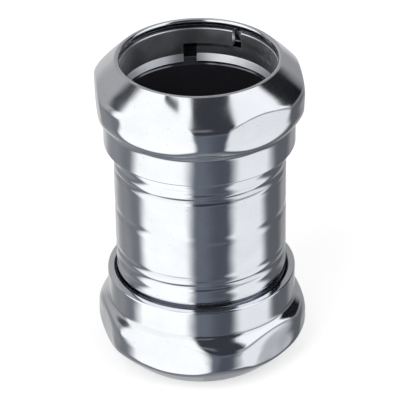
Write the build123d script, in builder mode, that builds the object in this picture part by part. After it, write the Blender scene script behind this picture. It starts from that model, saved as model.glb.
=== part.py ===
from build123d import *

import os
from math import cos, radians, sin, tan

# Compression coupling for thin-wall steel conduit, trade size 2 1/2, standing on its lower nut.
# A tube threaded at both ends takes a conduit in each end, up to a rolled bead at its middle.
# At each end a domed nut with six flats draws a split ring into the mouth of the tube.
# Millimetres, +Z up, the origin on the axis in the plane that the lower nut stands on.

# Conduit, and the room that each bore leaves round it
conduit_diameter = 73.03
ring_slip = 0.44
bite_slip = 0.19
socket_slip = 0.64
rim_slip = 0.5

# Tube
tube_length = 111.2
tube_wall = 3.65
mouth_bevel_angle = 45.0
mouth_land = 0.4
thread_chamfer = 0.8
thread_chamfer_width = 0.4
groove_half_width = 4.8
groove_depth = 0.6
bead_reach = 1.2
groove_shoulder = 3.0

# Nut, with depths measured from its rim
nut_height = 43.4
flat_count = 6
flat_rise = 2.8
corner_rise = 2.6
crest_depth = 14.7
crest_rounding = 7.0
crest_turn = 41.0
bulge_length = 5.2
shoulder_length = 10.3
collar_wall = 4.2
collar_cove = 3.0
lip_edge = 0.8
lip_bevel = 1.0
thread_clearance = 0.2
thread_top_depth = 27.0
rim_rounding = 1.2
rim_flat_width = 0.6
rim_land_length = 1.2
seat_angle = 45.0
cavity_wall = 3.7
cavity_cove = 3.0

# Split ring
ring_height = 17.5
ring_wall = 3.05
ring_bevel = 1.2
ring_edge = 0.35
bite_height = 4.2
bite_edge = 0.4
slit_height = 1.6
tongue_angle = 35.7
outer_notch_angle = 7.3
inner_notch_angle = 10.0

# How the pieces stand at rest: room at the seats, nuts backed off, and turns about the axis
seat_clearance = 0.2
upper_backoff = 0.0
lower_backoff = 2.6
upper_nut_turn = 35.5
lower_nut_turn = 46.0
upper_ring_turn = 60.4
lower_ring_turn = 200.0

# Radii that follow from the conduit
conduit_radius = conduit_diameter / 2
ring_bore = conduit_radius + ring_slip
bite_radius = conduit_radius + bite_slip
socket_radius = conduit_radius + socket_slip
rim_opening = conduit_radius + rim_slip
tube_radius = socket_radius + tube_wall
nut_bore = tube_radius + thread_clearance
collar_radius = nut_bore + collar_wall
flat_radius = collar_radius + flat_rise
bulge_radius = flat_radius + corner_rise
cavity_radius = flat_radius - cavity_wall
ring_outer = ring_bore + ring_wall
ring_face_radius = ring_outer - ring_bevel
end_radius = tube_radius - thread_chamfer_width
mouth_radius = end_radius - mouth_land

# Depths in the nut, and heights outwards from the middle of the tube, that follow from the seats
half_tube = tube_length / 2
mouth_depth = (mouth_radius - socket_radius) / tan(radians(mouth_bevel_angle))
mouth_gap = seat_clearance / sin(radians(mouth_bevel_angle))
ring_entry = (mouth_radius - ring_face_radius) / tan(radians(mouth_bevel_angle)) - mouth_gap
bulge_end_depth = crest_depth + bulge_length
collar_start_depth = bulge_end_depth + shoulder_length
seat_start_depth = rim_rounding + rim_land_length
seat_gap = seat_clearance / sin(radians(seat_angle))
ring_face_depth = seat_start_depth + (ring_face_radius - rim_opening) / tan(radians(seat_angle)) + seat_gap
seated_rim = half_tube - ring_entry + ring_height + ring_face_depth
tube_middle = seated_rim + lower_backoff


def end_frame(height, outward, turn):
    """Plane across the axis at a height outwards from the tube's middle, facing out of that end."""
    x_axis = (cos(radians(turn)), sin(radians(turn)), 0)
    return Plane(origin=(0, 0, tube_middle + outward * height), x_dir=x_axis, z_dir=(0, 0, outward))


def section_of(frame):
    """Plane through the axis: X is the radius and Y runs outwards from the frame."""
    return Plane(origin=frame.origin, x_dir=frame.x_dir, z_dir=-frame.y_dir)


def round_corners(section, roundings):
    """Fillets the corners of a section nearest to each given radius and height."""
    for radius, height, rounding in roundings:
        corner = section.vertices().sort_by_distance((radius, height))[0]
        fillet(corner, rounding)


def make_tube():
    """Tube with bevelled mouths, and a rolled groove whose bead stops the conduits."""
    with BuildPart() as tube:
        with BuildSketch(section_of(end_frame(0, 1, 0))) as section:
            with BuildLine():
                Polyline(
                    (tube_radius, groove_half_width),
                    (tube_radius, half_tube - thread_chamfer),
                    (end_radius, half_tube),
                    (mouth_radius, half_tube),
                    (socket_radius, half_tube - mouth_depth),
                    (socket_radius, groove_half_width),
                )
                ThreePointArc(
                    (socket_radius, groove_half_width),
                    (socket_radius - bead_reach, 0),
                    (socket_radius, -groove_half_width),
                )
                Polyline(
                    (socket_radius, -groove_half_width),
                    (socket_radius, -half_tube + mouth_depth),
                    (mouth_radius, -half_tube),
                    (end_radius, -half_tube),
                    (tube_radius, -half_tube + thread_chamfer),
                    (tube_radius, -groove_half_width),
                )
                ThreePointArc(
                    (tube_radius, -groove_half_width),
                    (tube_radius - groove_depth, 0),
                    (tube_radius, groove_half_width),
                )
            make_face()
            round_corners(section, [
                (tube_radius, groove_half_width, groove_shoulder),
                (tube_radius, -groove_half_width, groove_shoulder),
                (socket_radius, groove_half_width, groove_shoulder),
                (socket_radius, -groove_half_width, groove_shoulder),
            ])
        revolve(axis=Axis.Z)
    return tube


def make_nut(frame):
    """Domed nut pressed from plate, whose frame lies in its rim: six flats, a collar and a seat."""
    rim_flat_outer = rim_opening + rim_rounding + rim_flat_width
    crest_centre = (bulge_radius - crest_rounding, -crest_depth)
    cavity_top_depth = seat_start_depth + (cavity_radius - rim_opening) / tan(radians(seat_angle))
    cavity_end_depth = thread_top_depth - (cavity_radius - nut_bore)
    with BuildPart() as nut:
        with BuildSketch(section_of(frame)) as section:
            with BuildLine():
                crest = CenterArc(crest_centre, crest_rounding, 0, crest_turn)
                TangentArc(crest @ 1, (rim_flat_outer, 0), tangent=crest % 1)
                Polyline(
                    (rim_flat_outer, 0),
                    (rim_opening, 0),
                    (rim_opening, -seat_start_depth),
                    (cavity_radius, -cavity_top_depth),
                    (cavity_radius, -cavity_end_depth),
                    (nut_bore, -thread_top_depth),
                    (nut_bore, -nut_height + lip_bevel),
                    (nut_bore + lip_bevel, -nut_height),
                    (collar_radius, -nut_height),
                    (collar_radius, -collar_start_depth),
                )
                Line((bulge_radius, -bulge_end_depth), crest @ 0)
                TangentArc(
                    (bulge_radius, -bulge_end_depth),
                    (collar_radius, -collar_start_depth),
                    tangent=(0, -1),
                )
            make_face()
            round_corners(section, [
                (rim_opening, 0, rim_rounding),
                (collar_radius, -collar_start_depth, collar_cove),
                (collar_radius, -nut_height, lip_edge),
                (cavity_radius, -cavity_top_depth, cavity_cove),
            ])
        revolve(axis=Axis.Z)
        with BuildSketch(frame):
            RegularPolygon(flat_radius, flat_count, major_radius=False)
        extrude(amount=-nut_height, mode=Mode.INTERSECT)
    return nut


def make_ring(frame):
    """Split ring, whose frame lies in its inner face: bevelled ends, a bite edge and a stepped cut."""
    middle = ring_height / 2
    slit = slit_height / 2
    reach = ring_outer + ring_wall
    outer_notch = outer_notch_angle / 2
    inner_notch = inner_notch_angle / 2
    cuts = [
        (-outer_notch, outer_notch, middle, ring_height),
        (tongue_angle - inner_notch, tongue_angle + inner_notch, 0, middle),
        (-outer_notch, tongue_angle + inner_notch, middle - slit, middle + slit),
    ]
    with BuildPart() as ring:
        with BuildSketch(section_of(frame)):
            with BuildLine():
                Polyline(
                    (bite_radius, bite_edge),
                    (bite_radius + bite_edge, 0),
                    (ring_face_radius, 0),
                    (ring_outer, ring_bevel),
                    (ring_outer, ring_height - ring_bevel),
                    (ring_face_radius, ring_height),
                    (ring_bore + ring_edge, ring_height),
                    (ring_bore, ring_height - ring_edge),
                    (ring_bore, bite_height),
                    close=True,
                )
            make_face()
        revolve(axis=Axis.Z)
        for start_angle, end_angle, low, high in cuts:
            with BuildSketch(frame.offset(low)):
                with BuildLine():
                    edge = CenterArc((0, 0), reach, start_angle, end_angle - start_angle)
                    Line((0, 0), edge @ 0)
                    Line(edge @ 1, (0, 0))
                make_face()
            extrude(amount=high - low, mode=Mode.SUBTRACT)
    return ring


def main():
    """Builds each piece where it stands at rest and writes it."""
    upper_rim = seated_rim + upper_backoff
    lower_rim = seated_rim + lower_backoff
    pieces = {
        "tube": make_tube(),
        "upper_nut": make_nut(end_frame(upper_rim, 1, upper_nut_turn)),
        "lower_nut": make_nut(end_frame(lower_rim, -1, lower_nut_turn)),
        "upper_split_ring": make_ring(
            end_frame(upper_rim - ring_face_depth - ring_height, 1, upper_ring_turn)
        ),
        "lower_split_ring": make_ring(
            end_frame(lower_rim - ring_face_depth - ring_height, -1, lower_ring_turn)
        ),
    }
    os.makedirs("parts", exist_ok=True)
    for name, piece in pieces.items():
        piece.part.label = name
        export_step(piece.part, f"parts/{name}.step")


main()
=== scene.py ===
"""Dresses the conduit coupling: plated steel tube, two domed nuts and two split rings in a soft studio.

Lengths in the dataclasses are millimetres unless they say metres. Heights along the axis come from the
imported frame.
"""

import logging
import math
from dataclasses import dataclass, field
from enum import Enum
from typing import Sequence

import bmesh
import bpy
import numpy as np
from mathutils import Matrix, Vector


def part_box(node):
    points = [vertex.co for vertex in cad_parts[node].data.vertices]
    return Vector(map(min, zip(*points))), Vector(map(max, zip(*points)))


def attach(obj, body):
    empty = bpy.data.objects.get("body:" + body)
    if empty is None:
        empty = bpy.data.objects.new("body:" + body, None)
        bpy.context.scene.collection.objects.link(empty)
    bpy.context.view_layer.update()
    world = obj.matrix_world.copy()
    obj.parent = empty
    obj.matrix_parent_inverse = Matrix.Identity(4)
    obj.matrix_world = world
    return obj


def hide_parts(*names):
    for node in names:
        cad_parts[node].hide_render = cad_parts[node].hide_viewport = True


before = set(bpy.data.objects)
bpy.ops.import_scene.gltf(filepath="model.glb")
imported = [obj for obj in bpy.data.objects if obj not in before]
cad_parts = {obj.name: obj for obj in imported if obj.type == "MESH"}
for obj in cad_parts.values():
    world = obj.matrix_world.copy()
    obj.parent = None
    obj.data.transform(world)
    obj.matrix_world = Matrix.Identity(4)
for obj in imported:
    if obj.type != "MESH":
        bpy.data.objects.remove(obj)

MM = 0.001
SLACK = 0.01  # radii this close in millimetres, or directions in radians, count as the same
log = logging.getLogger("coupling")

Node = bpy.types.Node
Socket = bpy.types.NodeSocket
Span = tuple[float, float]
Colour = tuple[float, float, float]


class End(Enum):
    """Which way an end of the coupling faces."""

    UPPER = 1.0
    LOWER = -1.0


def smooth_step(value: np.ndarray, low: float, high: float) -> np.ndarray:
    """Rises from 0 at low to 1 at high along 3t^2 - 2t^3.

    Args:
        value: where to evaluate.
        low: start of the rise.
        high: end of the rise, which may be below low for a fall.

    Returns:
        The share, from 0 to 1.
    """
    t = np.clip((value - low) / (high - low), 0.0, 1.0)
    return t * t * (3.0 - 2.0 * t)


def soft_min(a: np.ndarray, b: np.ndarray, width: np.ndarray) -> np.ndarray:
    """Smaller of two surfaces, blended by a parabola where they lie within width of each other.

    Args:
        a: first surface.
        b: second surface.
        width: reach of the blend.

    Returns:
        The blended lower surface.
    """
    share = np.clip(0.5 + 0.5 * (b - a) / width, 0.0, 1.0)
    return b * (1.0 - share) + a * share - width * share * (1.0 - share)


@dataclass(frozen=True)
class Corner:
    """Corner of a section: its radius and height, and the rounding arc's radius and number of steps."""

    radius: float
    height: float
    rounding: float = 0.0
    steps: int = 5


def rounded_section(corners: Sequence[Corner], spacing: float) -> np.ndarray:
    """Closed section through corners, each replaced by an arc tangent to both its sides.

    Along an arc the point is centre + rounding * (cos, sin) of an angle that runs from one tangent point to
    the other. Straight sides get points no further apart than spacing, and one close to each arc.

    Args:
        corners: the corners in order round the section.
        spacing: longest distance between points of a straight side, in millimetres.

    Returns:
        Points as rows of radius and height.
    """
    points = np.array([(c.radius, c.height) for c in corners])
    before = np.roll(points, 1, axis=0) - points
    after = np.roll(points, -1, axis=0) - points
    before /= np.linalg.norm(before, axis=1, keepdims=True)
    after /= np.linalg.norm(after, axis=1, keepdims=True)
    arcs = []
    for corner, point, back, ahead in zip(corners, points, before, after):
        half = math.acos(float(np.clip(back @ ahead, -1.0, 1.0))) / 2.0
        if corner.rounding == 0.0 or math.pi / 2.0 - half < SLACK:
            arcs.append(point[None, :])
            continue
        reach = corner.rounding / math.tan(half)
        middle = (back + ahead) / np.linalg.norm(back + ahead)
        centre = point + middle * corner.rounding / math.sin(half)
        first, last = point + back * reach - centre, point + ahead * reach - centre
        share = np.linspace(0.0, 1.0, corner.steps + 1)[:, None]
        turn = math.pi - 2.0 * half
        arc = (np.sin((1.0 - share) * turn) * first + np.sin(share * turn) * last) / math.sin(turn)
        arcs.append(centre + arc)
    rows = []
    for arc, following in zip(arcs, arcs[1:] + arcs[:1]):
        rows.append(arc)
        rows.append(between(arc[-1], following[0], spacing))
    return np.concatenate(rows)


def between(start: np.ndarray, end: np.ndarray, spacing: float, guard: float = 0.12) -> np.ndarray:
    """Points strictly between two ends of a straight side, with one near each end to hold the shading.

    Args:
        start: first end.
        end: last end.
        spacing: longest distance between neighbours.
        guard: distance of the outermost points from the ends.

    Returns:
        The points as rows, without the ends.
    """
    length = float(np.linalg.norm(end - start))
    if length < 3.0 * guard:
        return np.empty((0, 2))
    count = max(1, math.ceil((length - 2.0 * guard) / spacing))
    shares = np.linspace(guard / length, 1.0 - guard / length, count + 1)
    return start + shares[:, None] * (end - start)


@dataclass(frozen=True)
class Thread:
    """Rolled right-hand thread: rounded crests that climb one pitch in each turn about the axis."""

    pitch: float = 5.08
    tube_root: float = 39.9
    nut_minor: float = 40.15
    sharpness: float = 1.4

    def ridge(self, angle: np.ndarray, height: np.ndarray, valley: float) -> np.ndarray:
        """Share of the full crest, 0 in the valley that passes height valley at the front of the part.

        It is (half of 1 - cos(2 pi phase)) to the power sharpness, where phase = (height - valley) / pitch
        minus the turn about the axis since the front.

        Args:
            angle: angle about the axis from +X, in radians.
            height: height in millimetres.
            valley: height of a valley's middle at the front, which is the -Y side.

        Returns:
            The share, from 0 to 1.
        """
        phase = (height - valley) / self.pitch - (angle + math.pi / 2.0) / (2.0 * math.pi)
        return (0.5 - 0.5 * np.cos(2.0 * math.pi * phase)) ** self.sharpness


@dataclass(frozen=True)
class Fits:
    """Radii that the pieces share, and the heights that the frame gives, in millimetres."""

    tube_radius: float = 40.805
    socket_radius: float = 37.155
    nut_bore: float = 41.005
    upper_valley: float = 21.97
    lower_valley: float = -24.9
    tube_low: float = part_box("tube")[0].z / MM
    tube_high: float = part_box("tube")[1].z / MM

    @property
    def middle(self) -> float:
        """Height of the tube's middle."""
        return (self.tube_low + self.tube_high) / 2.0

    def valley(self, end: End) -> float:
        """Height of the thread's outermost run-out valley at the front of one end."""
        return self.middle + (self.upper_valley if end is End.UPPER else self.lower_valley)


def round_axis(radius: np.ndarray, height: np.ndarray, angle: np.ndarray) -> np.ndarray:
    """Points in metres at radii, heights and angles about the axis: (r cos a, r sin a, h)."""
    return np.stack([radius * np.cos(angle), radius * np.sin(angle), height], axis=-1) * MM


def carry_round(section: np.ndarray, columns: int) -> tuple[np.ndarray, np.ndarray, np.ndarray]:
    """Grid that carries a section once round the axis, in even turns.

    Args:
        section: points of radius and of height or depth.
        columns: how many places round the axis the section stands at.

    Returns:
        Radius, height or depth, and angle: rows round the section, columns round the axis.
    """
    turns = np.linspace(0.0, 2.0 * math.pi, columns, endpoint=False)
    radius, angle = np.meshgrid(section[:, 0], turns, indexing="ij")
    return radius, np.repeat(section[:, 1:2], columns, axis=1), angle


def edge_share(grid: np.ndarray) -> np.ndarray:
    """How convex a grid's surface is at each point, from -1 in a cove to 1 on an edge.

    It is the curvature round the section, scaled so that a radius of 1 mm gives 1: the change of the unit
    direction from one step to the next over the mean length of the two, along the outward normal.

    Args:
        grid: points of a grid closed both ways, in metres.

    Returns:
        The share at each point, softened along the section.
    """
    ahead, back = np.roll(grid, -1, axis=0) - grid, grid - np.roll(grid, 1, axis=0)
    long_ahead, long_back = (np.linalg.norm(v, axis=-1, keepdims=True) for v in (ahead, back))
    bend = (back / long_back - ahead / long_ahead) / ((long_ahead + long_back) / 2.0)
    side = np.cross(np.roll(grid, -1, axis=1) - grid, ahead / long_ahead + back / long_back)
    side /= np.linalg.norm(side, axis=-1, keepdims=True)
    curve = np.clip((bend * side).sum(axis=-1) * MM, -1.0, 1.0)
    return (np.roll(curve, 1, axis=0) + 2.0 * curve + np.roll(curve, -1, axis=0)) / 4.0


class Piece:
    """A part of the coupling, which stands in for one CAD node and rides one body."""

    name: str = ""
    body: str = ""
    slot: str = ""

    def mesh(self) -> bpy.types.Mesh:
        """The piece's mesh in metres, which each kind of piece makes in its own way."""
        raise NotImplementedError

    def build(self, material: bpy.types.Material) -> bpy.types.Object:
        """Puts the piece into the scene in the place of the CAD node that it stands for.

        Args:
            material: its finish.

        Returns:
            The piece's object.
        """
        mesh = self.mesh()
        piece = bpy.data.objects.new(f"{self.name}_plated", mesh)
        bpy.context.scene.collection.objects.link(piece)
        mesh.materials.append(material)
        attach(piece, self.body)
        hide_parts(self.name)
        return piece

    def grid_mesh(
        self, radius: np.ndarray, height: np.ndarray, angle: np.ndarray, inner: np.ndarray
    ) -> bpy.types.Mesh:
        """Mesh of a grid that closes both round the section and round the axis.

        Its vertex attributes are edge, which is the grid's edge_share, and inner.

        Args:
            radius: radii in millimetres, rows round the section and columns round the axis.
            height: heights in millimetres, laid out alike.
            angle: angles in radians, laid out alike.
            inner: share of shade painted into the hollows, 0 on the outside and 1 where it is darkest.

        Returns:
            The mesh, in metres.
        """
        grid = round_axis(radius, height, angle)
        index = np.arange(radius.size).reshape(radius.shape)
        right, up = np.roll(index, -1, axis=1), np.roll(index, -1, axis=0)
        faces = np.stack([index, right, np.roll(right, -1, axis=0), up], axis=-1).reshape(-1, 4)
        mesh = bpy.data.meshes.new(self.name)
        mesh.from_pydata(grid.reshape(-1, 3).tolist(), [], faces.tolist())
        for attribute, share in (("edge", edge_share(grid)), ("inner", inner)):
            mesh.attributes.new(attribute, "FLOAT", "POINT").data.foreach_set("value", share.ravel())
        mesh.shade_smooth()
        mesh.update()
        return mesh


@dataclass
class Tube(Piece):
    """Tube threaded at both ends, with a rolled groove round its middle that stands in as a bead.

    The spans of the thread are distances from the tube's middle, and the groove lies groove_rise above it.
    """

    fits: Fits
    thread: Thread = field(default_factory=Thread)
    name: str = "tube"
    body: str = "tube"
    slot: str = "tube_steel"
    mouth_radius: float = 40.005
    mouth_rounding: float = 0.3
    end_radius: float = 40.405
    end_rounding: float = 0.12
    thread_chamfer: float = 0.8
    chamfer_rounding: float = 0.2
    groove_depth: float = 0.26
    groove_half_width: float = 3.0
    groove_rise: float = 0.5
    bead_reach: float = 1.2
    bead_half_width: float = 4.8
    first_thread: Span = (17.5, 22.0)
    faint_thread: Span = (24.0, 29.0)
    full_thread: Span = (33.5, 37.5)
    shares: tuple[float, float] = (0.52, 0.25)
    end_fade: float = 1.2
    dark_bevel: float = 0.3
    spacing: float = 0.60
    columns: int = 236

    def section(self) -> np.ndarray:
        """Closed section of the tube, whose lower half is the upper one mirrored.

        Returns:
            Points of radius and height, counter-clockwise with the radius to the right and the height up.
        """
        fits = self.fits
        end = (
            (fits.socket_radius, self.mouth_radius - fits.socket_radius, self.mouth_rounding, 5),
            (self.mouth_radius, 0.0, self.end_rounding, 3),
            (self.end_radius, 0.0, self.end_rounding, 3),
            (fits.tube_radius, self.thread_chamfer, self.chamfer_rounding, 3),
        )
        low = [Corner(radius, fits.tube_low + depth, *arc) for radius, depth, *arc in end]
        high = [Corner(radius, fits.tube_high - depth, *arc) for radius, depth, *arc in reversed(end)]
        return rounded_section(low + high, self.spacing)

    def mesh(self) -> bpy.types.Mesh:
        """Carries the section round, cuts the threads and rolls the groove.

        The groove and its bead move the wall inwards by their depth * (1 + cos(pi t)) / 2, with t the
        distance from the groove's middle over the half width. The thread lowers the outside by
        (crest - root) * (1 - ridge) * run-out. The run-out rises to the first of the shares, falls to the
        second, rises to 1 and fades out over the last end_fade of the tube.

        Returns:
            The mesh, with shade painted dark in the bore and on the mouths' bevels.
        """
        fits = self.fits
        radius, height, angle = carry_round(self.section(), self.columns)
        along = height - fits.middle
        outside = radius > self.mouth_radius + SLACK
        bore = radius < fits.socket_radius + SLACK
        first, faint = self.shares
        for end in End:
            outwards = along * end.value
            run_out = first * smooth_step(outwards, *self.first_thread)
            run_out -= (first - faint) * smooth_step(outwards, *self.faint_thread)
            run_out += (1.0 - faint) * smooth_step(outwards, *self.full_thread)
            run_out *= smooth_step(fits.tube_high - fits.middle - outwards, 0.0, self.end_fade)
            ridge = self.thread.ridge(angle, height, fits.valley(end))
            depth = (fits.tube_radius - self.thread.tube_root) * (1.0 - ridge) * run_out
            radius = np.where(outside, np.minimum(radius, fits.tube_radius - depth), radius)
        radius -= np.where(outside, self.groove_depth * self.bell(along, self.groove_half_width), 0.0)
        radius -= np.where(bore, self.bead_reach * self.bell(along, self.bead_half_width), 0.0)
        # Painted shade: the bore and the mouths' bevels get a dark colour where the hollow lies in shadow.
        inner = np.where(bore, 1.0, smooth_step(self.mouth_radius - radius, 0.0, self.dark_bevel))
        return self.grid_mesh(radius, height, angle, inner)

    def bell(self, along: np.ndarray, half_width: float) -> np.ndarray:
        """Raised cosine about the groove's middle: 1 there and 0 from half_width on."""
        return 0.5 + 0.5 * np.cos(math.pi * np.clip((along - self.groove_rise) / half_width, -1.0, 1.0))


@dataclass
class Nut(Piece):
    """Domed nut pressed from plate: a rim, a bulge with six soft flats, a collar and a threaded bore.

    Depths are measured from the rim. thread_start counts from the bore's top downwards, and thread_end
    and lip_span from the collar's end back.
    """

    fits: Fits
    end: End
    turn: float
    thread: Thread = field(default_factory=Thread)
    slot: str = "nut_steel"
    height: float = 43.4
    rim_opening: float = 37.015
    rim_rounding: float = 1.2
    rim_outer: float = 38.815
    bulge_radius: float = 50.595
    crest_depth: float = 14.7
    crest_rounding: float = 7.0
    crest_turn: float = 41.0
    bulge_end_depth: float = 19.9
    shoulder_rounding: float = 10.0
    shoulder_turn: float = 47.0
    flat_radius: float = 48.005
    flat_count: int = 6
    flat_softness: Span = (1.3, 2.2)
    collar_radius: float = 45.205
    collar_cove: float = 4.0
    lip_edge: float = 0.8
    lip_bevel: float = 1.3
    lip_rounding: float = 0.15
    lip_span: Span = (0.45, 0.1)
    cavity_radius: float = 44.305
    cavity_cove: float = 3.0
    cavity_rounding: float = 0.5
    bore_rounding: float = 0.3
    bore_reach: float = 0.6
    thread_top_depth: float = 27.0
    thread_start: Span = (-0.3, 1.5)
    thread_end: Span = (2.4, 5.0)
    seat_depth: float = 2.4
    seat_slope: float = 1.0
    dark_depth: Span = (2.2, 3.2)
    dark_wall: Span = (0.3, 0.8)
    dome_points: int = 30
    crest_points: int = 26
    bulge_points: int = 12
    shoulder_points: int = 32
    spacing: float = 0.64
    columns: int = 330

    def __post_init__(self) -> None:
        """Names the piece and its body after its end."""
        self.name = f"{self.end.name.lower()}_nut"
        self.body = self.name

    def skin(self) -> np.ndarray:
        """Outside of the nut from the rim's outer edge to the shoulder.

        A crest arc turns crest_turn degrees back from the straight bulge. The dome is the arc that goes on
        from there without a corner and ends at the rim: its radius is half the squared chord over the
        chord's share along the crest's normal. Past the bulge an arc turns in by shoulder_turn degrees.

        Returns:
            Points of radius and depth.
        """
        turn = math.radians(self.crest_turn)
        outward = np.array([math.cos(turn), -math.sin(turn)])
        middle = np.array([self.bulge_radius - self.crest_rounding, self.crest_depth])
        chord = middle + self.crest_rounding * outward - np.array([self.rim_outer, 0.0])
        reach = float(chord @ chord) / (2.0 * float(chord @ outward))
        sweep = 2.0 * math.asin(math.hypot(*chord) / (2.0 * reach))
        behind = middle + (self.crest_rounding - reach) * outward
        dome = self.arc(behind, reach, -turn - sweep, -turn, self.dome_points)
        crest = self.arc(middle, self.crest_rounding, -turn, 0.0, self.crest_points)
        ends = [self.bulge_radius, self.crest_depth], [self.bulge_radius, self.bulge_end_depth]
        bulge = np.linspace(*ends, self.bulge_points)
        below = np.array([self.bulge_radius - self.shoulder_rounding, self.bulge_end_depth])
        turned_in = math.radians(self.shoulder_turn)
        shoulder = self.arc(below, self.shoulder_rounding, 0.0, turned_in, self.shoulder_points)
        return np.concatenate([dome[:-1], crest[:-1], bulge[:-1], shoulder])

    @staticmethod
    def arc(centre: np.ndarray, rounding: float, first: float, last: float, count: int) -> np.ndarray:
        """Points of an arc as radius and depth: its centre plus rounding times the cosine and sine."""
        turn = np.linspace(first, last, count)[:, None]
        return centre + rounding * np.concatenate([np.cos(turn), np.sin(turn)], axis=1)

    def inside(self, skin: np.ndarray) -> np.ndarray:
        """The rest of the section: from the shoulder over the collar, and back through the bore to the rim.

        The shoulder runs on straight in the skin's last direction, down to the collar.

        Args:
            skin: the nut's outside, as points of radius and depth.

        Returns:
            Points of radius and depth, without the skin's own end points.
        """
        bore = self.fits.nut_bore
        run = skin[-1] - skin[-2]
        cove_depth = skin[-1, 1] + run[1] * (self.collar_radius - skin[-1, 0]) / run[0]
        seat_end_depth = self.seat_depth + (self.cavity_radius - self.rim_opening) / self.seat_slope
        cavity_end_depth = self.thread_top_depth - self.cavity_radius + bore
        corners = [
            Corner(*skin[-1]),
            Corner(self.collar_radius, cove_depth, self.collar_cove, 8),
            Corner(self.collar_radius, self.height, self.lip_edge, 6),
            Corner(bore + self.lip_bevel, self.height, self.lip_rounding, 3),
            Corner(bore, self.height - self.lip_bevel, self.lip_rounding, 3),
            Corner(bore, self.thread_top_depth, self.bore_rounding, 3),
            Corner(self.cavity_radius, cavity_end_depth, self.cavity_rounding, 3),
            Corner(self.cavity_radius, seat_end_depth, self.cavity_cove, 6),
            Corner(self.rim_opening, self.seat_depth, self.bore_rounding, 3),
            Corner(self.rim_opening, 0.0, self.rim_rounding, 8),
            Corner(*skin[0]),
        ]
        return rounded_section(corners, self.spacing)[1:-1]

    def mesh(self) -> bpy.types.Mesh:
        """Carries the section round, presses the flats and cuts the thread.

        A flat is the plane at flat_radius / cos(w) with w the angle from its middle, and the outside is the
        soft minimum of that and the section, softer from the crest to the end of the bulge. The bore is
        nut_minor + (bore - nut_minor) * ridge between two soft ends. Painted shade darkens the inside: it
        grows below the rim, and ends at the lip and at the collar's edge.

        Returns:
            The mesh.
        """
        fits, top = self.fits, self.thread_top_depth
        skin = self.skin()
        section = np.concatenate([skin[:-1], self.inside(skin)])
        radius, depth, angle = carry_round(section, self.columns)
        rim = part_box(self.name)[1 if self.end is End.UPPER else 0].z / MM
        height = rim - self.end.value * depth

        sector = 2.0 * math.pi / self.flat_count
        wrapped = np.mod(angle - math.radians(self.turn), sector) - sector / 2.0
        near, far = self.flat_softness
        softness = near + (far - near) * smooth_step(depth, self.crest_depth, self.bulge_end_depth)
        radius = soft_min(radius, self.flat_radius / np.cos(wrapped), softness)

        ridge = self.thread.ridge(angle, height, fits.valley(self.end))
        cut = self.thread.nut_minor + (fits.nut_bore - self.thread.nut_minor) * ridge
        ends = smooth_step(depth, *(top + span for span in self.thread_start))
        ends *= smooth_step(depth, *(self.height - span for span in self.thread_end))
        bore = (np.abs(radius - fits.nut_bore) < self.bore_reach) & (depth > top - self.bore_reach)
        radius = np.where(bore, radius + (cut - fits.nut_bore) * ends, radius)

        # Painted shade inside the nut: dark from below the rim through cavity and bore, fading at lip and
        # collar.
        lip = smooth_step(depth, *(self.height - span for span in self.lip_span))
        wall = smooth_step(self.collar_radius - radius, *self.dark_wall)
        inner = smooth_step(depth, *self.dark_depth) * (1.0 - lip) * wall
        inner[:len(skin) - 1] = 0.0
        if self.end is End.UPPER:
            radius, height, angle, inner = radius[::-1], height[::-1], angle[::-1], inner[::-1]
        return self.grid_mesh(radius, height, angle, inner)


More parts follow.
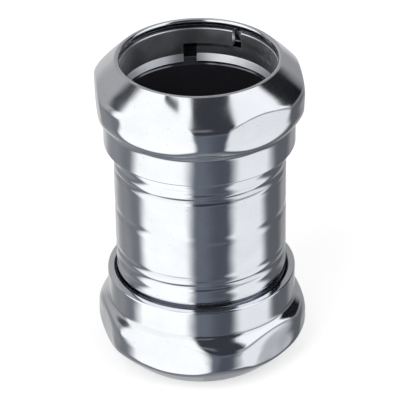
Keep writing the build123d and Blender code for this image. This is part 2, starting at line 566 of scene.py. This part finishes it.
@dataclass
class SplitRing(Piece):
    """Split ring with bevelled ends and a stepped cut: a lower and an upper tongue that pass each other.

    Heights run outwards from the inner face, and angles in degrees from the outer notch.
    """

    fits: Fits
    end: End
    turn: float
    slot: str = "ring_steel"
    height: float = 17.5
    bore: float = 36.955
    outer: float = 40.005
    bevel: float = 1.2
    bore_chamfer: float = 0.35
    bite: float = 36.705
    bite_height: float = 4.2
    bite_relief: float = 0.4
    foot_chamfer: float = 0.3
    tooth_count: int = 5
    tooth_depth: float = 0.35
    tooth_span: Span = (0.15, 0.95)
    slit: float = 1.6
    tongue_angle: float = 35.7
    outer_notch: float = 7.3
    inner_notch: float = 10.0
    step: float = 1.2
    weld: float = 0.002
    sharp_angle: float = 28.0

    def __post_init__(self) -> None:
        """Names the piece and its body after its end."""
        self.name = f"{self.end.name.lower()}_split_ring"
        self.body = f"{self.end.name.lower()}_ring"

    def halves(self) -> tuple[np.ndarray, np.ndarray, np.ndarray]:
        """Outlines of the ring's two halves and of the whole of it.

        The bite is a saw: each tooth slopes out by tooth_depth over its height, then steps back.

        Returns:
            The inner half, the whole ring and the outer half, each as points of radius and height.
        """
        slit_low, slit_high = (self.height - self.slit) / 2.0, (self.height + self.slit) / 2.0
        tooth = self.bite_height / self.tooth_count
        saw_radius = self.bite + np.tile([0.0, self.tooth_depth], self.tooth_count)
        saw_height = np.add.outer(np.arange(self.tooth_count), self.tooth_span).ravel() * tooth
        bite = np.stack([saw_radius, saw_height], axis=-1)[::-1].tolist()
        bite.append([self.bite + self.foot_chamfer, 0.0])
        face = self.outer - self.bevel
        inner_outside = [[face, 0.0], [self.outer, self.bevel], [self.outer, slit_low]]
        inner_inside = [[self.bore, slit_low], [self.bore, self.bite_height + self.bite_relief], *bite]
        outer_half = [
            [self.outer, slit_high],
            [self.outer, self.height - self.bevel],
            [face, self.height],
            [self.bore + self.bore_chamfer, self.height],
            [self.bore, self.height - self.bore_chamfer],
            [self.bore, slit_high],
        ]
        inner_half = np.array(inner_outside + inner_inside)
        whole = np.array(inner_outside + outer_half + inner_inside)
        return inner_half, whole, np.array(outer_half)

    def mesh(self) -> bpy.types.Mesh:
        """Sweeps the three outlines over their spans, joins them and takes out the faces between them.

        Returns:
            The mesh.
        """
        outer, inner = self.outer_notch / 2.0, self.inner_notch / 2.0
        inner_half, whole, outer_half = self.halves()
        start, stop = self.tongue_angle + inner, 360.0 - outer
        points, faces = [], []
        for outline, first, last in (
            (whole, start, stop),
            (inner_half, stop, 360.0 + self.tongue_angle - inner),
            (outer_half, outer, start),
        ):
            swept, closed = self.sweep(outline, first, last, len(points))
            points += swept
            faces += closed
        mesh = bpy.data.meshes.new(self.name)
        mesh.from_pydata(points, [], faces)
        made = bmesh.new()
        made.from_mesh(mesh)
        bmesh.ops.remove_doubles(made, verts=made.verts, dist=self.weld * MM)
        shared = [f for f in made.faces if all(len(e.link_faces) > 2 for e in f.edges)]
        bmesh.ops.delete(made, geom=shared, context="FACES_ONLY")
        bmesh.ops.recalc_face_normals(made, faces=made.faces)
        made.to_mesh(mesh)
        made.free()
        mesh.attributes.new("edge", "FLOAT", "POINT")
        mesh.attributes.new("inner", "FLOAT", "POINT")
        mesh.shade_smooth()
        mesh.set_sharp_from_angle(angle=math.radians(self.sharp_angle))
        return mesh

    def sweep(
        self, outline: np.ndarray, first: float, last: float, number: int
    ) -> tuple[list[list[float]], list[list[int]]]:
        """Carries an outline about the axis between two angles, and closes its ends.

        Args:
            outline: closed outline as radius and height.
            first: where the sweep starts.
            last: where it ends.
            number: number of its first point in the mesh.

        Returns:
            Its points in metres, and its faces by point numbers.
        """
        count = max(2, round((last - first) / self.step))
        angle = np.radians(np.linspace(first, last, count + 1)) * self.end.value + math.radians(self.turn)
        low, high = (corner.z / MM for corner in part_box(self.name))
        base = low if self.end is End.UPPER else high
        radius = np.repeat(outline[:, :1], count + 1, axis=1)
        height = base + self.end.value * np.repeat(outline[:, 1:], count + 1, axis=1)
        index = number + np.arange(radius.size).reshape(radius.shape)
        above = np.roll(index, -1, axis=0)
        sides = np.stack([index[:, :-1], index[:, 1:], above[:, 1:], above[:, :-1]], axis=-1)
        caps = [index[:, 0].tolist(), index[:, -1].tolist()]
        grid = round_axis(radius, height, angle)
        return grid.reshape(-1, 3).tolist(), sides.reshape(-1, 4).tolist() + caps


class Graph:
    """Short way of adding linked nodes to a tree."""

    def __init__(self, tree: bpy.types.NodeTree) -> None:
        """Takes the tree that the nodes go into."""
        self.tree = tree

    def node(self, kind: str, settings: dict | None = None, inputs: dict | None = None) -> Node:
        """Adds a node.

        Args:
            kind: the node's type, such as ShaderNodeMath.
            settings: its properties by name.
            inputs: its inputs by name or number, each a value or a socket to link from.

        Returns:
            The node.
        """
        made = self.tree.nodes.new(kind)
        for key, value in (settings or {}).items():
            setattr(made, key, value)
        for key, value in (inputs or {}).items():
            if isinstance(value, Socket):
                self.link(value, made.inputs[key])
            else:
                made.inputs[key].default_value = value
        return made

    def link(self, source: Socket, target: Socket) -> None:
        """Links an output to an input."""
        self.tree.links.new(source, target)

    def math(self, operation: str, *values: object, clamp: bool = False) -> Socket:
        """Result of a Math node on values or sockets."""
        settings = {"operation": operation, "use_clamp": clamp}
        return self.node("ShaderNodeMath", settings, dict(enumerate(values))).outputs[0]

    def mix(self, share: object, a: object, b: object) -> Socket:
        """Colour between a and b."""
        made = self.node("ShaderNodeMix", {"data_type": "RGBA"}, {0: share, 6: a, 7: b})
        return made.outputs[2]

    def ramp(
        self, value: object, low: float, high: float, to_low: float = 0.0, to_high: float = 1.0
    ) -> Socket:
        """Smoothly maps value from low..high to to_low..to_high, held at both ends."""
        spans = {0: value, 1: low, 2: high, 3: to_low, 4: to_high}
        return self.node("ShaderNodeMapRange", {"interpolation_type": "SMOOTHSTEP"}, spans).outputs[0]

    def noise(self, place: Socket, scale: object, detail: float, dimensions: str = "3D") -> Socket:
        """Noise from 0 to 1 at a place."""
        inputs = {"Vector": place, "Scale": scale, "Detail": detail}
        return self.node("ShaderNodeTexNoise", {"noise_dimensions": dimensions}, inputs).outputs[0]


def new_group(name: str, inputs: dict[str, float], outputs: Sequence[str]) -> tuple[Graph, Node, Node]:
    """Starts a shader node group with number sockets.

    Args:
        name: the group's name.
        inputs: its inputs and their defaults.
        outputs: its outputs.

    Returns:
        The group's graph, and the nodes of its inputs and outputs.
    """
    group = bpy.data.node_groups.new(name, "ShaderNodeTree")
    for key, value in inputs.items():
        group.interface.new_socket(key, in_out="INPUT", socket_type="NodeSocketFloat").default_value = value
    for key in outputs:
        group.interface.new_socket(key, in_out="OUTPUT", socket_type="NodeSocketFloat")
    graph = Graph(group)
    return graph, graph.node("NodeGroupInput"), graph.node("NodeGroupOutput")


def turned_space(graph: Graph) -> tuple[Socket, Socket, Socket]:
    """Cylinder coordinates of the shaded point.

    Args:
        graph: the graph that takes the nodes.

    Returns:
        Radius and height in metres, and the angle about the axis in radians.
    """
    place = graph.node("ShaderNodeTexCoord").outputs["Object"]
    x, y, z = graph.node("ShaderNodeSeparateXYZ", inputs={0: place}).outputs
    squares = graph.math("ADD", graph.math("MULTIPLY", x, x), graph.math("MULTIPLY", y, y))
    return graph.math("SQRT", squares), z, graph.math("ARCTAN2", y, x)


@dataclass(frozen=True)
class TurningMarks:
    """Fine rings left by turning and rolling: noise that runs round the axis and changes fast along it."""

    rings: float = 900.0
    drift: float = 1.5
    detail: float = 3.0
    streak_scale: float = 0.13
    streak_detail: float = 2.0
    streak_span: Span = (0.42, 0.62)

    def group(self) -> bpy.types.NodeTree:
        """Builds the node group.

        Returns:
            The group, which gives the rings' height about 0 and the share of slower streaks.
        """
        graph, given, result = new_group("turning_marks", {"Rings": self.rings}, ["Height", "Streak"])
        radius, height, turn = turned_space(graph)
        along = graph.math("MULTIPLY", graph.math("ADD", radius, height), given.outputs["Rings"])
        around = graph.math("MULTIPLY", turn, self.drift)
        place = graph.node("ShaderNodeCombineXYZ", inputs={0: along, 1: around}).outputs[0]
        fine = graph.noise(place, 1.0, self.detail, "2D")
        slow = graph.noise(place, self.streak_scale, self.streak_detail, "2D")
        graph.link(graph.math("SUBTRACT", fine, 0.5), result.inputs["Height"])
        graph.link(graph.ramp(slow, *self.streak_span), result.inputs["Streak"])
        return graph.tree


@dataclass(frozen=True)
class PlatingCloud:
    """Slow clouding of the plating, and small specks where it has dulled. Sizes are noise cells a metre."""

    size: float = 60.0
    detail: float = 4.0
    span: Span = (0.38, 0.66)
    speck_size: float = 900.0
    speck_detail: float = 2.0
    speck_span: Span = (0.66, 0.76)

    def group(self) -> bpy.types.NodeTree:
        """Builds the node group.

        Returns:
            The group, which gives the shares of cloud and of specks.
        """
        graph, _, result = new_group("plating_cloud", {}, ["Cloud", "Speck"])
        place = graph.node("ShaderNodeTexCoord").outputs["Object"]
        cloud = graph.noise(place, self.size, self.detail)
        speck = graph.noise(place, self.speck_size, self.speck_detail)
        graph.link(graph.ramp(cloud, *self.span), result.inputs["Cloud"])
        graph.link(graph.ramp(speck, *self.speck_span), result.inputs["Speck"])
        return graph.tree


@dataclass(frozen=True)
class HandlingScratches:
    """Light handling scratches: thin lines of stretched noise in slanted directions round the part.

    A direction is a slant in degrees, the noise cells a metre across it, and a shift of the noise.
    """

    directions: tuple[tuple[float, float, float], ...] = ((18.0, 1500.0, 0.0), (-31.0, 1150.0, 7.0))
    wall_radius: float = 45.0
    cells_along: float = 45.0
    span: Span = (0.715, 0.78)

    def group(self) -> bpy.types.NodeTree:
        """Builds the node group.

        Returns:
            The group, which gives the share of scratches.
        """
        graph, given, result = new_group("handling_scratches", {"Amount": 1.0}, ["Scratch"])
        radius, height, turn = turned_space(graph)
        arc = graph.math("MULTIPLY", turn, self.wall_radius * MM)
        lines = []
        for slant, cells_across, shift in self.directions:
            leaning = graph.math("MULTIPLY", arc, math.tan(math.radians(slant)))
            off = graph.math("ADD", leaning, graph.math("ADD", height, radius))
            across = graph.math("MULTIPLY", off, cells_across)
            along = graph.math("MULTIPLY_ADD", arc, self.cells_along, shift)
            place = graph.node("ShaderNodeCombineXYZ", inputs={0: across, 1: along}).outputs[0]
            lines.append(graph.ramp(graph.noise(place, 1.0, 1.0, "2D"), *self.span))
        both = graph.math("MAXIMUM", *lines)
        graph.link(graph.math("MULTIPLY", both, given.outputs["Amount"]), result.inputs["Scratch"])
        return graph.tree


@dataclass(frozen=True)
class PlatedSteel:
    """Bright zinc plate over steel: its colours, its gloss, the marks that making and handling left, and
    the shade painted into coves and hollows.

    A mark's part is how far it shows where it is whole, and its span is the edge share over which it fades
    in. The scratches' depth is in heights of the rings.
    """

    name: str
    bright: Colour = (0.83, 0.85, 0.88)
    dull: Colour = (0.77, 0.785, 0.81)
    # Colour of the dull specks, and of the shade painted into coves.
    cove: Colour = (0.30, 0.30, 0.32)
    # Shade painted inside the hollows: its colour, and the metallic there.
    hollow_shade: Colour = (0.15, 0.15, 0.18)
    hollow_shade_metallic: float = 0.92
    roughness: float = 0.07
    dull_roughness: float = 0.14
    cloud_part: float = 0.55
    streak_part: float = 0.3
    speck_part: float = 0.35
    cove_part: float = 0.6
    cove_span: Span = (-0.12, -0.6)
    worn_part: float = 0.5
    worn_span: Span = (0.25, 0.9)
    rings: float = 900.0
    ring_height: float = 0.0025
    waviness: float = 0.25
    wave_scale: float = 55.0
    wave_detail: float = 1.0
    scratches: float = 0.22
    scratch_depth: float = 1.5
    scratch_roughness: float = 0.2

    def material(self, groups: dict[str, bpy.types.NodeTree]) -> bpy.types.Material:
        """Builds the material.

        Args:
            groups: the shared node groups by name.

        Returns:
            The material.
        """
        made = bpy.data.materials.new(self.name)
        made.use_nodes = True
        graph = Graph(made.node_tree)
        steel = made.node_tree.nodes["Principled BSDF"]
        turning, cloud, scratch = (
            graph.node("ShaderNodeGroup", {"node_tree": groups[name]}, inputs).outputs
            for name, inputs in (
                ("turning", {"Rings": self.rings}),
                ("cloud", {}),
                ("scratch", {"Amount": self.scratches}),
            )
        )
        edge, inner = (
            graph.node("ShaderNodeAttribute", {"attribute_name": name}).outputs["Fac"]
            for name in ("edge", "inner")
        )
        streaks = graph.math("MULTIPLY", turning["Streak"], self.streak_part)
        clouded = graph.math("MULTIPLY", cloud["Cloud"], self.cloud_part)
        dulled = graph.math("ADD", clouded, streaks, clamp=True)
        shade = graph.mix(dulled, (*self.bright, 1.0), (*self.dull, 1.0))
        for share, part, colour in (
            (cloud["Speck"], self.speck_part, self.cove),
            # Painted shade in coves, where the edge share falls below zero.
            (graph.ramp(edge, *self.cove_span), self.cove_part, self.cove),
            (graph.ramp(edge, *self.worn_span), self.worn_part, self.bright),
            # Painted shade inside the hollows, by the inner attribute.
            (inner, 1.0, self.hollow_shade),
        ):
            shade = graph.mix(graph.math("MULTIPLY", share, part), shade, (*colour, 1.0))
        gloss = graph.ramp(dulled, 0.0, 1.0, self.roughness, self.dull_roughness)
        roughened = graph.math("MULTIPLY", scratch["Scratch"], self.scratch_roughness)
        graph.link(shade, steel.inputs["Base Color"])
        graph.link(graph.math("ADD", gloss, roughened), steel.inputs["Roughness"])
        # Metallic eases where shade is painted inside the hollows.
        graph.link(graph.ramp(inner, 0.0, 1.0, 1.0, self.hollow_shade_metallic), steel.inputs["Metallic"])
        place = graph.node("ShaderNodeTexCoord").outputs["Object"]
        wave = graph.noise(place, self.wave_scale, self.wave_detail)
        cuts = graph.math("MULTIPLY", scratch["Scratch"], self.scratch_depth)
        marks = graph.math("SUBTRACT", turning["Height"], cuts)
        dent = {"Height": wave, "Distance": self.waviness * MM, "Strength": 1.0}
        dented = graph.node("ShaderNodeBump", inputs=dent).outputs[0]
        grain = {"Height": marks, "Distance": self.ring_height * MM, "Strength": 1.0, "Normal": dented}
        graph.link(graph.node("ShaderNodeBump", inputs=grain).outputs[0], steel.inputs["Normal"])
        return made


@dataclass(frozen=True)
class LightCard:
    """A soft light or a dark flag of the studio, by the directions that it covers as seen from the part.

    Bearings are degrees from the camera's side, positive to its right. Rises are degrees above the floor.
    """

    bearing: Span
    rise: Span
    colour: Colour
    bearing_softness: float = 5.0
    rise_softness: float = 8.0


@dataclass(frozen=True)
class SoftLamp:
    """A round lamp that the steel doesn't mirror: place, aim and width in metres, and power in watts."""

    name: str
    place: tuple[float, float, float]
    size: float
    power: float
    aim: tuple[float, float, float] = (0.0, 0.0, 0.07)

    def build(self) -> None:
        """Hangs the lamp at its place, facing its aim."""
        lamp = bpy.data.lights.new(self.name, "AREA")
        lamp.shape, lamp.size, lamp.energy = "DISK", self.size, self.power
        placed = bpy.data.objects.new(self.name, lamp)
        placed.location = self.place
        way = Vector(self.aim) - Vector(self.place)
        placed.rotation_euler = way.to_track_quat("-Z", "Y").to_euler()
        placed.visible_glossy = False
        bpy.context.scene.collection.objects.link(placed)


@dataclass
class Studio:
    """Plain pale floor, soft light, and the cards that plated steel mirrors. Its lengths are metres."""

    surround: Colour = (0.30, 0.30, 0.31)
    cards: tuple[LightCard, ...] = (
        LightCard((-200.0, -100.0), (-120.0, 120.0), (0.42, 0.42, 0.425), 8.0),
        LightCard((128.0, 200.0), (-120.0, 120.0), (0.34, 0.34, 0.35), 8.0),
        LightCard((-200.0, -148.0), (-44.0, 12.0), (0.62, 0.62, 0.62), 10.0, 5.0),
        LightCard((162.0, 200.0), (-44.0, 12.0), (0.62, 0.62, 0.63), 8.0, 5.0),
        LightCard((-98.0, 98.0), (-120.0, 120.0), (0.040, 0.042, 0.052), 6.0),
        LightCard((-98.0, 98.0), (-120.0, -10.0), (0.140, 0.160, 0.195), 6.0, 7.0),
        LightCard((12.0, 98.0), (-120.0, -18.0), (0.082, 0.091, 0.114), 12.0, 7.0),
        LightCard((-14.0, 12.0), (16.0, 34.0), (0.17, 0.18, 0.195), 6.0, 4.0),
        LightCard((-200.0, 200.0), (78.0, 140.0), (0.24, 0.245, 0.26), 5.0, 7.0),
        LightCard((-114.0, -90.0), (22.0, 42.0), (0.060, 0.065, 0.076), 5.0, 4.0),
        LightCard((-140.0, -100.0), (-75.0, -10.0), (0.27, 0.275, 0.29), 14.0, 8.0),
        LightCard((-110.0, -84.0), (-75.0, -6.0), (0.19, 0.20, 0.22), 10.0, 8.0),
        LightCard((-86.0, -14.0), (-52.0, -6.0), (1.20, 1.20, 1.20), 9.0, 6.0),
        LightCard((-97.0, -12.0), (-12.0, 76.0), (1.20, 1.20, 1.20), 4.0, 6.0),
        LightCard((-54.0, -30.0), (57.4, 61.4), (0.025, 0.025, 0.03), 3.0, 1.2),
        LightCard((101.0, 135.0), (0.0, 46.0), (0.010, 0.010, 0.014), 6.0, 5.0),
        LightCard((97.0, 136.0), (-75.0, -6.0), (0.125, 0.13, 0.142), 10.0, 5.0),
        LightCard((46.5, 101.0), (0.0, 76.0), (1.10, 1.11, 1.13), 4.0, 6.0),
        LightCard((42.0, 94.0), (-52.0, 6.0), (0.92, 0.93, 0.95), 9.0, 6.0),
        LightCard((40.0, 98.0), (-9.0, 6.0), (0.36, 0.37, 0.39), 4.5, 5.0),
        LightCard((-200.0, 200.0), (-140.0, -66.0), (0.24, 0.25, 0.27), 5.0, 12.0),
    )
    fan_rise: float = 42.0
    fan_span: float = 40.0
    fan_climb: float = 2.0
    fan_share: float = 0.33
    white: Colour = (1.0, 1.0, 1.0)
    pale: Colour = (0.9, 0.9, 0.9)
    floor_glow: float = 0.55
    floor_size: float = 3.0
    contact_reach: Span = (0.030, 0.038)
    lamps: tuple[SoftLamp, ...] = (
        SoftLamp("key_lamp", (-0.7, -0.9, 1.3), 1.2, 16.0),
        SoftLamp("fill_lamp", (0.9, -0.6, 1.1), 1.0, 8.0),
    )

    def world(self) -> None:
        """Sets the world: white where the camera sees it, plain light for the floor, cards for the steel.

        A card's share is the product of soft windows of the mirrored ray's bearing and rise. The cards fan
        out overhead: the bearing is divided by 1 + fan_share * climb^2, and climb rises softly from 0 to
        fan_climb as the rise goes fan_span past fan_rise.
        """
        world = bpy.data.worlds.new("studio")
        bpy.context.scene.world = world
        world.use_nodes = True
        graph = Graph(world.node_tree)
        path = graph.node("ShaderNodeLightPath").outputs
        way = graph.node("ShaderNodeTexCoord").outputs["Generated"]
        x, y, z = graph.node("ShaderNodeSeparateXYZ", inputs={0: way}).outputs
        bearing = graph.math("DEGREES", graph.math("ARCTAN2", x, graph.math("MULTIPLY", y, -1.0)))
        rise = graph.math("DEGREES", graph.math("ARCSINE", z))
        climb = graph.ramp(rise, self.fan_rise, self.fan_rise + self.fan_span, 0.0, self.fan_climb)
        fan = graph.math("MULTIPLY_ADD", graph.math("POWER", climb, 2.0), self.fan_share, 1.0)
        bearing = graph.math("DIVIDE", bearing, fan)
        shade: object = (*self.surround, 1.0)
        for card in self.cards:
            share = graph.math(
                "MULTIPLY",
                self.window(graph, bearing, card.bearing, card.bearing_softness),
                self.window(graph, rise, card.rise, card.rise_softness),
            )
            shade = graph.mix(share, shade, (*card.colour, 1.0))
        plain = graph.mix(path["Is Camera Ray"], (*self.pale, 1.0), (*self.white, 1.0))
        seen = graph.mix(path["Is Glossy Ray"], plain, shade)
        graph.link(seen, world.node_tree.nodes["Background"].inputs["Color"])

    @staticmethod
    def window(graph: Graph, value: Socket, span: Span, soft: float) -> Socket:
        """Share of a span: 0 outside it, 1 inside, with soft edges centred on its ends.

        Args:
            graph: the graph that takes the nodes.
            value: the bearing or the rise in degrees.
            span: where the window starts and ends.
            soft: half the width of its soft edges.

        Returns:
            The share.
        """
        low, high = span
        rising = graph.ramp(value, low - soft, low + soft)
        falling = graph.ramp(value, high - soft, high + soft, 1.0, 0.0)
        return graph.math("MULTIPLY", rising, falling)

    def floor(self) -> None:
        """Pale floor. The steel mirrors it only close to the part, and past that the studio's cards."""
        half = self.floor_size / 2.0
        corners = [(-half, -half, 0), (half, -half, 0), (half, half, 0), (-half, half, 0)]
        mesh = bpy.data.meshes.new("floor")
        mesh.from_pydata(corners, [], [(0, 1, 2, 3)])
        floor = bpy.data.objects.new("floor", mesh)
        bpy.context.scene.collection.objects.link(floor)
        made = bpy.data.materials.new("pale_floor")
        made.use_nodes = True
        graph = Graph(made.node_tree)
        graph.tree.nodes.remove(graph.tree.nodes["Principled BSDF"])
        path = graph.node("ShaderNodeLightPath").outputs
        radius, _, _ = turned_space(graph)
        matt = graph.node("ShaderNodeBsdfDiffuse", inputs={"Color": (*self.pale, 1.0)}).outputs[0]
        glow = graph.node("ShaderNodeEmission", inputs={"Color": (*self.white, 1.0)}).outputs[0]
        clear = graph.node("ShaderNodeBsdfTransparent").outputs[0]
        share = graph.math("MULTIPLY", path["Is Camera Ray"], self.floor_glow)
        bright = graph.node("ShaderNodeMixShader", inputs={0: share, 1: matt, 2: glow}).outputs[0]
        away = graph.math("MULTIPLY", path["Is Glossy Ray"], graph.ramp(radius, *self.contact_reach))
        whole = graph.node("ShaderNodeMixShader", inputs={0: away, 1: bright, 2: clear}).outputs[0]
        graph.link(whole, graph.tree.nodes["Material Output"].inputs["Surface"])
        mesh.materials.append(made)

    def build(self) -> None:
        """Builds the world, the floor and the lamps."""
        self.world()
        self.floor()
        for lamp in self.lamps:
            lamp.build()


@dataclass(frozen=True)
class Camera:
    """The photograph's view: angles in degrees, lengths in millimetres.

    It looks at the point that aim gives, to the right of the axis and above the floor.
    """

    elevation: float = 31.21
    distance: float = 1245.6
    roll: float = -0.84
    lens: float = 234.9
    sensor: float = 36.0
    aim: tuple[float, float] = (-0.245, 78.40)

    def build(self) -> None:
        """Places the camera before the part, level with its elevation, and makes it the scene's."""
        data = bpy.data.cameras.new("camera")
        data.lens, data.sensor_width = self.lens, self.sensor
        camera = bpy.data.objects.new("camera", data)
        lift = math.radians(self.elevation)
        side, height = self.aim
        back, up = self.distance * math.cos(lift), self.distance * math.sin(lift)
        place = Vector((side, -back, height + up)) * MM
        tilt = Matrix.Rotation(math.pi / 2.0 - lift, 4, "X")
        roll = Matrix.Rotation(math.radians(self.roll), 4, "Z")
        camera.matrix_world = Matrix.Translation(place) @ tilt @ roll
        bpy.context.scene.collection.objects.link(camera)
        bpy.context.scene.camera = camera


@dataclass
class Coupling:
    """The whole coupling: a tube, and a nut and a split ring at each end.

    Turns are degrees. The finishes are the tube's, the nuts' and the rings'.
    """

    fits: Fits = field(default_factory=Fits)
    finishes: tuple[PlatedSteel, ...] = (
        PlatedSteel("plated_tube", rings=700.0),
        PlatedSteel("plated_nut", rings=420.0, waviness=0.35),
        PlatedSteel("dull_ring", roughness=0.34, dull_roughness=0.5, waviness=0.1),
    )
    nut_turns: dict[End, float] = field(default_factory=lambda: {End.UPPER: 35.5, End.LOWER: 46.0})
    ring_turns: dict[End, float] = field(default_factory=lambda: {End.UPPER: 60.4, End.LOWER: 200.0})

    def build(self) -> list[bpy.types.Object]:
        """Makes every piece with its finish.

        Returns:
            The pieces' objects.
        """
        marks = {"turning": TurningMarks(), "cloud": PlatingCloud(), "scratch": HandlingScratches()}
        groups = {name: mark.group() for name, mark in marks.items()}
        tube_steel, nut_steel, ring_steel = (finish.material(groups) for finish in self.finishes)
        made = [Tube(self.fits).build(tube_steel)]
        for end in End:
            made.append(Nut(self.fits, end, self.nut_turns[end]).build(nut_steel))
            made.append(SplitRing(self.fits, end, self.ring_turns[end]).build(ring_steel))
        return made


def main() -> None:
    """Builds the camera, the studio and the coupling."""
    logging.basicConfig(level=logging.INFO, format="%(name)s: %(message)s")
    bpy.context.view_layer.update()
    Camera().build()
    Studio().build()
    for piece in Coupling().build():
        mesh = piece.data
        log.info("%s: %d vertices, %d faces", piece.name, len(mesh.vertices), len(mesh.polygons))
    bpy.context.scene.view_settings.view_transform = "Standard"


if __name__ == "__main__":
    main()
